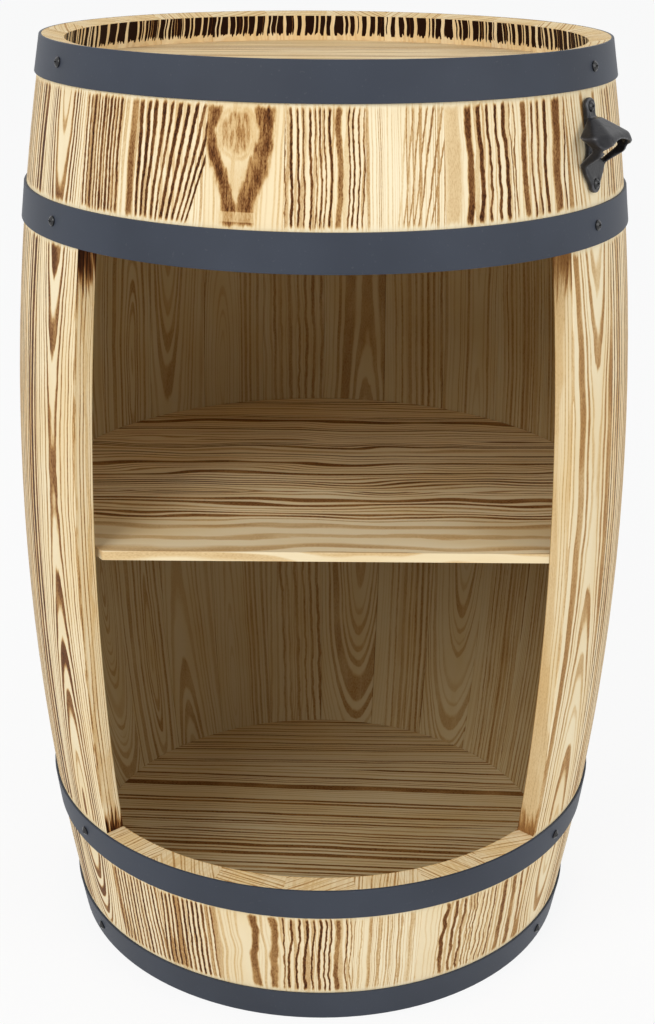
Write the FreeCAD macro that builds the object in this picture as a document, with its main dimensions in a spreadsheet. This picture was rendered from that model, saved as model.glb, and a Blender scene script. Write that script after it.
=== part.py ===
"""A bar cabinet made like a wooden barrel, built as a parametric FreeCAD document.

Bent staves stand in a ring and are held by four steel hoops, which are screwed on. A wide
opening at the front is framed by two rows of short staves, a recessed head closes the top and
another the bottom, and a shelf halfway up makes two compartments. A cast iron bottle opener is
screwed to the first full stave on the right of the opening.

Millimetres and degrees, +Z up. The front faces -Y. The origin is on the floor, in the middle
of the overall width and depth. Azimuths are measured round the barrel from its front, positive
towards +X. In a stave's own frame +X points out through the middle of its bowed face.
"""
import FreeCAD, Part
import math
import os
import Sketcher

SIZES = {
    # The barrel's shell.
    "barrel_height": 800.0,
    "belly_radius": 266.5,
    "rim_radius": 229.5,
    "stave_thickness": 18.0,
    "edge_ease": 0.5,
    # The opening at the front, and the number of staves in front of and beside it.
    "opening_half_angle": 47.5,
    "front_staves": 7,
    "full_staves": 18,
    # The hoops: one at each end, and one above and below the opening.
    "hoop_width": 29.0,
    "hoop_thickness": 2.0,
    "hoop_clearance": 0.15,
    "hoop_ease": 0.5,
    "inner_hoop_base": 115.0,
    # The two heads, each a row of boards with a tongue that runs in a groove in the staves.
    "head_recess": 25.5,
    "head_thickness": 18.0,
    "head_boards": 4,
    "tongue_thickness": 8.0,
    "groove_depth": 5.0,
    "seat_clearance": 0.3,
    # The shelf, housed in the full staves. Its front left corner is cut off.
    "shelf_base": 401.0,
    "shelf_thickness": 8.0,
    "shelf_boards": 3,
    "shelf_housing": 4.0,
    "shelf_setback": 0.3,
    "shelf_clip_width": 5.4,
    "shelf_clip_depth": 6.7,
    # The screws, with a domed head and a cross recess.
    "screw_head_radius": 4.0,
    "screw_head_height": 2.6,
    "screw_head_rim": 0.8,
    "screw_shank_radius": 1.7,
    "screw_length": 15.0,
    "screw_point": 3.0,
    "recess_length": 4.0,
    "recess_width": 0.9,
    "recess_depth": 1.4,
    "end_screw_offset": 4.1,
    "inner_screw_offset": 0.8,
    "thread_clearance": 0.05,
    "hole_clearance": 0.4,
    # The bottle opener: a plate with an ear at each end, a hood on two cheeks, and a tooth.
    "opener_drop": 70.0,
    "opener_gap": 0.1,
    "ear_spacing": 57.0,
    "ear_radius": 7.0,
    "plate_thickness": 5.0,
    "plate_half_width": 16.5,
    "plate_shoulder": 15.0,
    "plate_foot": 21.0,
    "plate_foot_half_width": 13.5,
    "plate_waist": 6.0,
    "neck_half_width": 6.5,
    "ear_recess": 1.2,
    "hood_top": 20.0,
    "hood_top_half_width": 8.0,
    "hood_top_reach": 10.0,
    "hood_bulge": 7.0,
    "hood_bulge_half_width": 24.5,
    "hood_bulge_reach": 26.5,
    "hood_lip": 4.0,
    "hood_lip_half_width": 23.0,
    "hood_lip_reach": 31.0,
    "hood_wall": 2.8,
    "hood_corner_reach": 27.0,
    "shell_corner": 0.35,
    "cheek_inset": 1.5,
    "cheek_wall": 2.4,
    "cheek_foot": 15.0,
    "cheek_foot_half_width": 17.0,
    "cheek_foot_reach": 20.0,
    "wing_gap": 4.0,
    "wing_height": 8.0,
    "gap_foot": 12.0,
    "gap_drop": 2.0,
    "gap_reach": 14.0,
    "arch_radius": 36.0,
    "arch_top": 3.0,
    "arch_start": 21.0,
    "arch_foot": 7.5,
    "tooth_width": 13.0,
    "tooth_reach": 5.5,
    "tooth_thickness": 3.0,
    "tooth_drop": 6.0,
}

FULL_TURN = 360.0
QUARTER_TURN = 90.0
OPENER_STAVE = 1                # Full staves are numbered from the right side of the opening.
REAR_SCREW_STAVE = 6
OVERCUT = 10.0                  # How far a cutter runs past what it cuts.
LEAST_CUT = 0.001               # Every cut takes away more than this, in cubic millimetres.
CLIP_RUN = 2                    # How far the clipped corner's slope runs past the jamb, in widths.
X_AXIS = FreeCAD.Vector(1, 0, 0)
Y_AXIS = FreeCAD.Vector(0, 1, 0)
Z_AXIS = FreeCAD.Vector(0, 0, 1)

doc = FreeCAD.newDocument("BarrelBarCabinet")
sheet = doc.addObject("Spreadsheet::Sheet", "Sizes")
for row, (alias, number) in enumerate(SIZES.items(), 1):
    sheet.set(f"A{row}", alias)
    sheet.set(f"B{row}", str(number))
    sheet.setAlias(f"B{row}", alias)
doc.recompute()
size = {alias: float(sheet.get(alias)) for alias in SIZES}

# Expressions that several sketches share.
RISE = "(Sizes.belly_radius - Sizes.rim_radius)"
HALF_HEIGHT = "(Sizes.barrel_height / 2)"
BOW_RADIUS = f"(({HALF_HEIGHT} ^ 2 + {RISE} ^ 2) / (2 * {RISE}))"
BOW_CENTRE = f"(Sizes.belly_radius - {BOW_RADIUS})"
STAVE_PITCH = "((360 - 2 * Sizes.opening_half_angle) / Sizes.full_staves)"
FRONT_PITCH = "(2 * Sizes.opening_half_angle / Sizes.front_staves)"
UPPER_HOOP_BASE = "(Sizes.barrel_height - Sizes.inner_hoop_base - Sizes.hoop_width)"
SILL_HEIGHT = "(Sizes.inner_hoop_base + Sizes.hoop_width)"
TOP_HEAD_BASE = "(Sizes.barrel_height - Sizes.head_recess - Sizes.head_thickness)"
JAMB_DEPTH = (
    "((Sizes.belly_radius - Sizes.stave_thickness) * cos(Sizes.opening_half_angle * 1 deg))"
)
JAMB_REACH = (
    "((Sizes.belly_radius - Sizes.stave_thickness) * sin(Sizes.opening_half_angle * 1 deg))"
)

# The same geometry as numbers, for placements and for the first guess of the sketch solver.
half_height = size["barrel_height"] / 2
rise = size["belly_radius"] - size["rim_radius"]
bow_radius = (half_height**2 + rise**2) / (2 * rise)
bow_centre = size["belly_radius"] - bow_radius
stave_pitch = (FULL_TURN - 2 * size["opening_half_angle"]) / size["full_staves"]
front_pitch = 2 * size["opening_half_angle"] / size["front_staves"]
sill_height = size["inner_hoop_base"] + size["hoop_width"]
lintel_height = size["barrel_height"] - sill_height
opener_height = size["barrel_height"] - size["opener_drop"]


def radius_at(height, depth=0.0):
    """The barrel's radius at a height, at some depth below the staves' outer face."""
    return bow_centre + math.sqrt((bow_radius - depth) ** 2 - (height - half_height) ** 2)


def radius_expression(height, depth="0"):
    """The expression for radius_at, from expressions for the height and depth."""
    return f"({BOW_CENTRE} + sqrt(({BOW_RADIUS} - {depth}) ^ 2 - ({height} - {HALF_HEIGHT}) ^ 2))"


# The bottom of the shelf's housing, and how far the shelf reaches in front of the axis.
HOUSING_RADIUS = "({} + Sizes.shelf_housing)".format(
    radius_expression("(Sizes.shelf_base + Sizes.shelf_thickness / 2)", "Sizes.stave_thickness")
)
SHELF_FRONT = f"({JAMB_DEPTH} - Sizes.shelf_setback)"

# The front is flatter than the back, because the opening leaves out the belly there.
front_reach = radius_at(sill_height) + size["hoop_clearance"] + size["hoop_thickness"]
AXIS = FreeCAD.Vector(0, (front_reach - size["belly_radius"]) / 2, 0)


def heading(azimuth):
    """The direction of an azimuth, as an angle about +Z from +X."""
    return azimuth - QUARTER_TURN


def stave_azimuth(number):
    """The azimuth of the middle of a full stave."""
    return size["opening_half_angle"] + (number - 0.5) * stave_pitch


def origin_feature(body, role):
    """One of a body's own origin planes or axes."""
    return next(item for item in body.Origin.OriginFeatures if item.Role == role)


def new_body(label, placement):
    """An empty body, which may hold separate solids."""
    body = doc.addObject("PartDesign::Body", label)
    body.Label = label
    body.AllowCompound = True
    body.Placement = placement
    return body


def new_sketch(body, name, role="XY_Plane", offset=None):
    """A sketch on one of the body's origin planes, moved by an offset if there is one."""
    sketch = body.newObject("Sketcher::SketchObject", name)
    sketch.AttachmentSupport = [(origin_feature(body, role), "")]
    sketch.MapMode = "FlatFace"
    if offset:
        sketch.AttachmentOffset = offset
    return sketch


def pose(base, x_axis, y_axis):
    """A placement from a point and the directions of two axes."""
    rotation = FreeCAD.Rotation(x_axis, y_axis, x_axis.cross(y_axis), "XYZ")
    return FreeCAD.Placement(base, rotation)


def tie(sketch, expression, kind, *where_and_value):
    """Adds a dimension at its present value, then ties it to an expression."""
    number = sketch.addConstraint(Sketcher.Constraint(kind, *where_and_value))
    sketch.setExpression(f"Constraints[{number}]", expression)


def tie_radius(sketch, arc, expression):
    """Ties the radius of an arc."""
    tie(sketch, expression, "Radius", arc, sketch.Geometry[arc].Radius)


def tie_level(sketch, geometry, end, up):
    """Ties how far one end of a line or an arc lies above the sketch's origin."""
    tie(sketch, up, "DistanceY", -1, 1, geometry, end, sketch.getPoint(geometry, end).y)


def pin(sketch, geometry, end, across, up):
    """Ties one end of a line or an arc to its distances from the sketch's origin."""
    tie(sketch, across, "DistanceX", -1, 1, geometry, end, sketch.getPoint(geometry, end).x)
    tie_level(sketch, geometry, end, up)


def join(sketch, first, first_end, second, second_end):
    """Makes two ends meet."""
    sketch.addConstraint(Sketcher.Constraint("Coincident", first, first_end, second, second_end))


def draw_polygon(sketch, corners):
    """A closed outline of straight lines, with each corner tied to two expressions."""
    count = len(corners)
    guess = [
        FreeCAD.Vector(math.cos(math.tau * k / count), math.sin(math.tau * k / count))
        for k in range(count)
    ]
    lines = [
        sketch.addGeometry(Part.LineSegment(guess[k], guess[(k + 1) % count]))
        for k in range(count)
    ]
    for k, (across, up) in enumerate(corners):
        join(sketch, lines[k - 1], 2, lines[k], 1)
        pin(sketch, lines[k], 1, across, up)


def draw_rectangle(sketch, left, right, low, high):
    """A rectangle between four expressions."""
    draw_polygon(sketch, [(left, low), (right, low), (right, high), (left, high)])


def revolve(body, sketch, name, axis=None, kind="PartDesign::Revolution", turn="360"):
    """Turns a sketch about the body's Z axis, or about an axis of the sketch itself."""
    feature = body.newObject(kind, name)
    feature.Profile = sketch
    feature.ReferenceAxis = (sketch, [axis]) if axis else (origin_feature(body, "Z_Axis"), [""])
    feature.Midplane = True
    feature.setExpression("Angle", turn)
    return feature


def extrude(body, sketch, name, length, kind="PartDesign::Pad", middle=False, backwards=False):
    """Pads or pockets a sketch by a length."""
    feature = body.newObject(kind, name)
    feature.Profile = sketch
    feature.Midplane = middle
    feature.Reversed = backwards
    feature.setExpression("Length", length)
    return feature


def edge_names(feature, wanted):
    """The names of the edges of a feature that pass a test."""
    return [f"Edge{k}" for k, edge in enumerate(feature.Shape.Edges, 1) if wanted(edge)]


# Staves.


# Where staves end: an expression for the height, and the same as a number.
FLOOR = ("0", 0.0)
SILL = (SILL_HEIGHT, sill_height)
LINTEL = (UPPER_HOOP_BASE, lintel_height)
RIM = ("Sizes.barrel_height", size["barrel_height"])


def draw_stave_side(sketch, low, high):
    """The side view of a stave: two bowed faces, a level foot and a top that is level too,
    or square to the bow where the stave ends at the barrel's rim."""
    centre = FreeCAD.Vector(bow_centre, half_height, 0)
    arcs = []
    for depth in (0.0, size["stave_thickness"]):
        radius = bow_radius - depth
        ends = [math.asin((z - half_height) / radius) for _, z in (low, high)]
        circle = Part.Circle(centre, Z_AXIS, radius)
        arcs.append(sketch.addGeometry(Part.ArcOfCircle(circle, *ends)))
    outer, inner = arcs
    foot, top = (
        sketch.addGeometry(Part.LineSegment(
            FreeCAD.Vector(radius_at(z), z, 0),
            FreeCAD.Vector(radius_at(z, size["stave_thickness"]), z, 0),
        ))
        for _, z in (low, high)
    )
    for arc, end, depth in ((outer, 1, "0"), (inner, 2, "Sizes.stave_thickness")):
        join(sketch, arc, 1, foot, end)
        join(sketch, arc, 2, top, end)
        tie_radius(sketch, arc, f"{BOW_RADIUS} - {depth}")
        pin(sketch, arc, 3, BOW_CENTRE, HALF_HEIGHT)
        tie_level(sketch, arc, 1, low[0])
    tie_level(sketch, outer, 2, high[0])
    if high is RIM:
        sketch.addConstraint(Sketcher.Constraint("PointOnObject", outer, 3, top))
    else:
        sketch.addConstraint(Sketcher.Constraint("Horizontal", top))


def screw_seat(azimuth, height, lift):
    """Where a screw sits: its axis leaves the bowed face squarely. lift is measured from that
    face. In the returned placement +X runs out along the screw."""
    slope = math.asin((height - half_height) / bow_radius)
    angle = math.radians(heading(azimuth))
    outward = FreeCAD.Vector(math.cos(angle), math.sin(angle), 0)
    normal = outward * math.cos(slope) + Z_AXIS * math.sin(slope)
    upward = Z_AXIS * math.cos(slope) - outward * math.sin(slope)
    base = outward * radius_at(height) + Z_AXIS * height + normal * lift
    return pose(base, normal, upward)


def drill(body, name, seat, radius, depth):
    """A round hole of a radius, from past the seat to a depth below it."""
    sketch = new_sketch(body, f"{name}_outline", offset=seat)
    draw_rectangle(sketch, f"-({depth})", f"{OVERCUT}", "0", radius)
    hole = revolve(body, sketch, name, "H_Axis", "PartDesign::Groove")
    return hole


def hoop_screws():
    """Each hoop's front right screw, from the floor up: its height, and its azimuth past the
    middle of the stave behind it."""
    end_height = size["hoop_width"] / 2
    inner_height = size["inner_hoop_base"] + end_height
    end_offset, inner_offset = size["end_screw_offset"], size["inner_screw_offset"]
    return [
        (end_height, end_offset),
        (inner_height, inner_offset),
        (size["barrel_height"] - inner_height, inner_offset),
        (size["barrel_height"] - end_height, end_offset),
    ]


PILOT_RADIUS = "Sizes.screw_shank_radius + Sizes.thread_clearance"
PILOT_DEPTH = "Sizes.screw_length"


def drill_opener_pilots(stave):
    """The holes for the opener's screws, in the stave's own frame."""
    for name, side in (("upper", 1), ("lower", -1)):
        face = screw_seat(QUARTER_TURN, opener_height, 0)
        up = face.Rotation.multVec(Y_AXIS) * side * size["ear_spacing"] / 2
        seat = FreeCAD.Placement(face.Base + up, face.Rotation)
        drill(stave, f"{stave.Label}_{name}_opener_pilot", seat, PILOT_RADIUS, PILOT_DEPTH)


def cut_head_groove(body, name, base):
    """The groove for the tongue of the head whose underside is at base."""
    middle = f"({base} + Sizes.head_thickness / 2)"
    half_width = "(Sizes.tongue_thickness / 2 + Sizes.seat_clearance)"
    face = radius_expression(middle, "Sizes.stave_thickness")
    sketch = new_sketch(body, f"{name}_outline", "XZ_Plane")
    draw_rectangle(
        sketch, f"{face} - {OVERCUT}", f"{face} + Sizes.groove_depth",
        f"{middle} - {half_width}", f"{middle} + {half_width}",
    )
    revolve(body, sketch, name, kind="PartDesign::Groove")


def make_stave(label, azimuth, turn, low, high):
    """One stave, eased along its four long edges, with the grooves of the heads it reaches."""

    def runs_lengthwise(edge):
        return edge.BoundBox.ZLength > (high[1] - low[1]) / 2

    placement = FreeCAD.Placement(AXIS, FreeCAD.Rotation(Z_AXIS, heading(azimuth)))
    body = new_body(label, placement)
    side = new_sketch(body, f"{label}_side", "XZ_Plane")
    draw_stave_side(side, low, high)
    board = revolve(body, side, f"{label}_board", turn=turn)
    doc.recompute()
    ease = body.newObject("PartDesign::Fillet", f"{label}_ease")
    ease.Base = (board, edge_names(board, runs_lengthwise))
    ease.setExpression("Radius", "Sizes.edge_ease")
    doc.recompute()
    if low is FLOOR:
        cut_head_groove(body, f"{label}_bottom_groove", "Sizes.head_recess")
    if high is RIM:
        cut_head_groove(body, f"{label}_top_groove", TOP_HEAD_BASE)
    return body


def house_shelf(body, azimuth):
    """Cuts the shelf's housing into a full stave. It stops where the shelf's front edge does."""
    label = body.Label
    turned_back = FreeCAD.Rotation(Z_AXIS, -heading(azimuth))
    base = FreeCAD.Vector(0, 0, size["shelf_base"] - size["seat_clearance"])
    sketch = new_sketch(
        body, f"{label}_housing_outline", offset=FreeCAD.Placement(base, turned_back)
    )
    draw_shelf_outline(sketch, "0", "Sizes.seat_clearance")
    extrude(
        body, sketch, f"{label}_housing", "Sizes.shelf_thickness + 2 * Sizes.seat_clearance",
        kind="PartDesign::Pocket", backwards=True,
    )


def draw_shelf_outline(sketch, rim_gap, front_gap):
    """A disc with a straight front edge. The gaps shrink its rim and move its front out."""
    radius_guess = radius_at(size["shelf_base"], size["stave_thickness"])
    start = math.radians(-size["opening_half_angle"])
    circle = Part.Circle(FreeCAD.Vector(), Z_AXIS, radius_guess)
    rim = sketch.addGeometry(Part.ArcOfCircle(circle, start, math.pi - start))
    edge = sketch.addGeometry(
        Part.LineSegment(circle.value(math.pi - start), circle.value(start))
    )
    join(sketch, rim, 3, -1, 1)
    join(sketch, rim, 2, edge, 1)
    join(sketch, rim, 1, edge, 2)
    sketch.addConstraint(Sketcher.Constraint("Symmetric", rim, 1, rim, 2, -2))
    tie_radius(sketch, rim, f"{HOUSING_RADIUS} - {rim_gap}")
    tie_level(sketch, rim, 1, f"-({SHELF_FRONT} + {front_gap})")


screwed_staves = {
    OPENER_STAVE,
    REAR_SCREW_STAVE,
    int(size["full_staves"]) + 1 - REAR_SCREW_STAVE,
    int(size["full_staves"]) + 1 - OPENER_STAVE,
}
for number in range(1, int(size["full_staves"]) + 1):
    azimuth = stave_azimuth(number)
    stave = make_stave(f"full_stave_{number:02d}", azimuth, STAVE_PITCH, FLOOR, RIM)
    house_shelf(stave, azimuth)
    if number in screwed_staves:
        side = 1 if number <= size["full_staves"] / 2 else -1
        for order, (height, offset) in enumerate(hoop_screws(), 1):
            seat = screw_seat(QUARTER_TURN + side * offset, height, 0)
            drill(stave, f"{stave.Label}_pilot_{order}", seat, PILOT_RADIUS, PILOT_DEPTH)
    if number == OPENER_STAVE:
        drill_opener_pilots(stave)

for number in range(1, int(size["front_staves"]) + 1):
    azimuth = (number - 0.5) * front_pitch - size["opening_half_angle"]
    make_stave(f"upper_stave_{number}", azimuth, FRONT_PITCH, LINTEL, RIM)
    make_stave(f"lower_stave_{number}", azimuth, FRONT_PITCH, FLOOR, SILL)


# Heads and shelf.


def rip(body, radius, front, number, count):
    """Cuts a sheet that reaches from front to its back rim down to one of its boards, counted
    from the front. front is how far the sheet reaches forwards from the barrel's axis."""
    past = f"({radius} + {OVERCUT})"
    step = f"(({radius} + {front}) / Sizes.{count})"
    sketch = new_sketch(body, f"{body.Label}_waste")
    if number > 1:
        low = f"({number - 1} * {step} - {front})"
        draw_rectangle(sketch, f"-{past}", past, f"-{past}", low)
    if number < int(size[count]):
        high = f"({number} * {step} - {front})"
        draw_rectangle(sketch, f"-{past}", past, high, past)
    extrude(
        body, sketch, f"{body.Label}_rip", "Sizes.barrel_height",
        kind="PartDesign::Pocket", backwards=True,
    )


def make_head(name, base):
    """A head, ripped into boards. Its rim follows the staves and carries the tongue."""
    top = f"({base} + Sizes.head_thickness)"
    middle = f"({base} + Sizes.head_thickness / 2)"
    inner = "Sizes.stave_thickness"
    tongue_low = f"({middle} - Sizes.tongue_thickness / 2)"
    tongue_high = f"({middle} + Sizes.tongue_thickness / 2)"
    tongue_radius = (
        f"({radius_expression(middle, inner)} + Sizes.groove_depth - Sizes.seat_clearance)"
    )

    def rim(height):
        return f"({radius_expression(height, inner)} - Sizes.seat_clearance)"

    for number in range(1, int(size["head_boards"]) + 1):
        body = new_body(f"{name}_board_{number}", FreeCAD.Placement(AXIS, FreeCAD.Rotation()))
        section = new_sketch(body, f"{body.Label}_section", "XZ_Plane")
        draw_polygon(section, [
            ("0", base),
            (rim(base), base),
            (rim(tongue_low), tongue_low),
            (tongue_radius, tongue_low),
            (tongue_radius, tongue_high),
            (rim(tongue_high), tongue_high),
            (rim(top), top),
            ("0", top),
        ])
        revolve(body, section, f"{body.Label}_disc")
        rip(body, tongue_radius, tongue_radius, number, "head_boards")


def clip_front_corner(body):
    """Cuts off the shelf's front left corner, on a slope that starts at its front edge and runs
    on into the housing."""
    start = f"-({JAMB_REACH} - Sizes.shelf_clip_width)"
    end = f"-({JAMB_REACH} + {CLIP_RUN} * Sizes.shelf_clip_width)"
    in_front = f"-{SHELF_FRONT} - {OVERCUT}"
    corner = new_sketch(body, f"{body.Label}_corner")
    draw_polygon(corner, [
        (start, f"-{SHELF_FRONT}"),
        (start, in_front),
        (end, in_front),
        (end, f"-{SHELF_FRONT} + (1 + {CLIP_RUN}) * Sizes.shelf_clip_depth"),
    ])
    extrude(
        body, corner, f"{body.Label}_clip", "Sizes.barrel_height",
        kind="PartDesign::Pocket", backwards=True,
    )


def make_shelf():
    """The shelf, ripped into boards, with its front left corner cut off."""
    radius = f"({HOUSING_RADIUS} - Sizes.seat_clearance)"
    for number in range(1, int(size["shelf_boards"]) + 1):
        body = new_body(f"shelf_board_{number}", FreeCAD.Placement(AXIS, FreeCAD.Rotation()))
        level = FreeCAD.Placement(Z_AXIS * size["shelf_base"], FreeCAD.Rotation())
        outline = new_sketch(body, f"{body.Label}_outline", offset=level)
        draw_shelf_outline(outline, "Sizes.seat_clearance", "0")
        extrude(body, outline, f"{body.Label}_sheet", "Sizes.shelf_thickness")
        if number == 1:
            clip_front_corner(body)
        rip(body, radius, SHELF_FRONT, number, "shelf_boards")


make_head("top_head", TOP_HEAD_BASE)
make_head("bottom_head", "Sizes.head_recess")
make_shelf()


# Hoops and screws.


def repeat_round(body, features, name):
    """Repeats features at the four azimuths that have a screw."""
    staves_apart = REAR_SCREW_STAVE - OPENER_STAVE
    to_rear = body.newObject("PartDesign::PolarPattern", f"{name}_to_rear")
    to_rear.Axis = (origin_feature(body, "Z_Axis"), [""])
    to_rear.setExpression("Angle", f"{staves_apart} * {STAVE_PITCH}")
    to_rear.Occurrences = 2
    to_left = body.newObject("PartDesign::Mirrored", f"{name}_to_left")
    to_left.MirrorPlane = (origin_feature(body, "YZ_Plane"), [""])
    pattern = body.newObject("PartDesign::MultiTransform", name)
    pattern.Originals = features
    pattern.Transformations = [to_rear, to_left]
    body.Tip = pattern


def add_screw(body, name, seat):
    """A screw whose head lies on its seat, with the seat's +X running out along it."""
    side = new_sketch(body, f"{name}_side", offset=seat)
    head_radius = size["screw_head_radius"]
    dome = size["screw_head_height"] - size["screw_head_rim"]
    dome_radius = (head_radius**2 + dome**2) / (2 * dome)
    middle = FreeCAD.Vector(size["screw_head_height"] - dome_radius, 0, 0)
    corners = [
        ("Sizes.screw_head_height", "0"),
        ("-Sizes.screw_length", "0"),
        ("Sizes.screw_point - Sizes.screw_length", "Sizes.screw_shank_radius"),
        ("0", "Sizes.screw_shank_radius"),
        ("0", "Sizes.screw_head_radius"),
        ("Sizes.screw_head_rim", "Sizes.screw_head_radius"),
    ]
    rim = FreeCAD.Vector(size["screw_head_rim"], head_radius, 0)
    tip = FreeCAD.Vector(-size["screw_length"], 0, 0)
    guess = [
        FreeCAD.Vector(size["screw_head_height"], 0, 0),
        tip,
        FreeCAD.Vector(size["screw_point"], 0, 0) + tip + Y_AXIS * size["screw_shank_radius"],
        Y_AXIS * size["screw_shank_radius"],
        Y_AXIS * head_radius,
        rim,
    ]
    lines = [
        side.addGeometry(Part.LineSegment(guess[k], guess[k + 1]))
        for k in range(len(guess) - 1)
    ]
    circle = Part.Circle(middle, Z_AXIS, dome_radius)
    arc = side.addGeometry(Part.ArcOfCircle(circle, 0, math.asin(head_radius / dome_radius)))
    for k in range(1, len(lines)):
        join(side, lines[k - 1], 2, lines[k], 1)
    for k, line in enumerate(lines):
        pin(side, line, 1, *corners[k])
    pin(side, lines[-1], 2, *corners[-1])
    join(side, arc, 1, lines[0], 1)
    join(side, arc, 2, lines[-1], 2)
    side.addConstraint(Sketcher.Constraint("PointOnObject", arc, 3, -1))
    screw = revolve(body, side, name, "H_Axis")
    doc.recompute()
    outward, upward = seat.Rotation.multVec(X_AXIS), seat.Rotation.multVec(Y_AXIS)
    head = seat.Base + outward * size["screw_head_height"]
    face = pose(head, upward.cross(outward), upward)
    cross = new_sketch(body, f"{name}_cross", offset=face)
    long, thin = "(Sizes.recess_length / 2)", "(Sizes.recess_width / 2)"
    draw_polygon(cross, [
        (long, f"-{thin}"), (long, thin), (thin, thin), (thin, long), (f"-{thin}", long),
        (f"-{thin}", thin), (f"-{long}", thin), (f"-{long}", f"-{thin}"),
        (f"-{thin}", f"-{thin}"), (f"-{thin}", f"-{long}"), (thin, f"-{long}"),
        (thin, f"-{thin}"),
    ])
    recess = extrude(
        body, cross, f"{name}_recess", "Sizes.recess_depth", kind="PartDesign::Pocket",
    )
    recess.Reversed = face.Rotation.multVec(Z_AXIS).dot(outward) < 0
    return [screw, recess]


def make_hoop(label, base, middle, offset):
    """A hoop and its screws. The strip is straight in section and flares with the staves."""
    body = new_body(label, FreeCAD.Placement(AXIS, FreeCAD.Rotation()))
    section = new_sketch(body, f"{label}_section", "XZ_Plane")
    top = f"({base} + Sizes.hoop_width)"
    inside_low = f"({radius_expression(base)} + Sizes.hoop_clearance)"
    inside_high = f"({radius_expression(top)} + Sizes.hoop_clearance)"
    draw_polygon(section, [
        (inside_low, base),
        (f"({inside_low} + Sizes.hoop_thickness)", base),
        (f"({inside_high} + Sizes.hoop_thickness)", top),
        (inside_high, top),
    ])
    ring = revolve(body, section, f"{label}_ring")
    doc.recompute()
    ease = body.newObject("PartDesign::Fillet", f"{label}_ease")
    ease.Base = (ring, outer_edges(ring.Shape))
    ease.setExpression("Radius", "Sizes.hoop_ease")
    doc.recompute()
    azimuth = stave_azimuth(OPENER_STAVE) + offset
    seat = screw_seat(azimuth, middle, 0)
    hole_radius = "Sizes.screw_shank_radius + Sizes.hole_clearance"
    hole = drill(body, f"{label}_hole", seat, hole_radius, f"{OVERCUT}")
    repeat_round(body, [hole], f"{label}_holes")
    screws = new_body(f"{label}_screws", FreeCAD.Placement(AXIS, FreeCAD.Rotation()))
    lift = size["hoop_clearance"] + size["hoop_thickness"] + size["thread_clearance"]
    features = add_screw(screws, f"{label}_screw", screw_seat(azimuth, middle, lift))
    repeat_round(screws, features, f"{label}_screw_set")


def outer_edges(ring):
    """The names of a ring's two circular edges that are furthest from the axis at each end."""
    widest = {}
    for number, edge in enumerate(ring.Edges, 1):
        if isinstance(edge.Curve, Part.Circle):
            level = round(edge.Curve.Center.z, 3)
            widest.setdefault(level, []).append((edge.Curve.Radius, f"Edge{number}"))
    return [max(edges)[1] for edges in widest.values()]


HOOP_BASES = {
    "foot_hoop": "0",
    "sill_hoop": "Sizes.inner_hoop_base",
    "lintel_hoop": UPPER_HOOP_BASE,
    "rim_hoop": "(Sizes.barrel_height - Sizes.hoop_width)",
}
for (label, base), (middle, offset) in zip(HOOP_BASES.items(), hoop_screws()):
    make_hoop(label, base, middle, offset)


# The bottle opener. In its own frame the stave's face is the XY plane, +Y runs up along the
# stave and +Z out from it.


def opener_placement():
    """Where the opener's frame lies: on the middle of its stave, square to the bowed face."""
    seat = screw_seat(stave_azimuth(OPENER_STAVE), opener_height, size["opener_gap"])
    outward, upward = seat.Rotation.multVec(X_AXIS), seat.Rotation.multVec(Y_AXIS)
    return FreeCAD.Placement(AXIS, FreeCAD.Rotation()) * pose(
        seat.Base, upward.cross(outward), upward
    )


def cut_side_view(body, name, corners):
    """Cuts right across the opener, with the corners given as heights and reaches."""
    sketch = new_sketch(body, f"{name}_outline", "YZ_Plane")
    draw_polygon(sketch, corners)
    across = f"2 * (Sizes.hood_bulge_half_width + {OVERCUT})"
    extrude(body, sketch, name, across, kind="PartDesign::Pocket", middle=True)


def add_shell(body, name, wall, roof, sections):
    """A hollow shape, open at its foot and towards the stave. Each section is a level, a half
    width and a reach out from the stave. The hollow stops below the top by the roof."""
    for kind, thickness, back in (("Additive", "0", "0"), ("Subtractive", wall, OVERCUT)):
        outlines = []
        for number, (level, half_width, reach) in enumerate(sections, 1):
            if kind == "Subtractive" and number == len(sections):
                level = f"({level} - {roof})"
            across = f"({half_width} - {thickness})"
            front = f"({reach} - {thickness})"
            corner = f"(Sizes.shell_corner * {across})"
            outline = new_sketch(body, f"{name}_{kind.lower()}_{number}", "XZ_Plane")
            draw_polygon(outline, [
                (across, f"-{back}"),
                (across, f"{front} - {corner}"),
                (f"{across} - {corner}", front),
                (f"-{across} + {corner}", front),
                (f"-{across}", f"{front} - {corner}"),
                (f"-{across}", f"-{back}"),
            ])
            outline.setExpression("AttachmentOffset.Base.z", f"-({level})")
            outlines.append(outline)
        loft = body.newObject(f"PartDesign::{kind}Loft", f"{name}_{kind.lower()}")
        loft.Profile = outlines[0]
        loft.Sections = outlines[1:]
        loft.Ruled = True


def add_hood(body):
    """The hood, with its wings cut short towards the stave."""
    add_shell(body, "hood", "Sizes.hood_wall", "Sizes.hood_wall", [
        ("-Sizes.hood_lip", "Sizes.hood_lip_half_width", "Sizes.hood_lip_reach"),
        ("Sizes.hood_bulge", "Sizes.hood_bulge_half_width", "Sizes.hood_bulge_reach"),
        ("Sizes.hood_top", "Sizes.hood_top_half_width", "Sizes.hood_top_reach"),
    ])
    below = f"-Sizes.hood_lip - {OVERCUT}"
    cut_side_view(body, "hood_wings", [
        ("Sizes.wing_height", "Sizes.wing_gap"),
        ("-Sizes.hood_lip", "Sizes.hood_corner_reach"),
        (below, "Sizes.hood_corner_reach"),
        (below, f"-{OVERCUT}"),
        ("Sizes.wing_height", f"-{OVERCUT}"),
    ])


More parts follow.
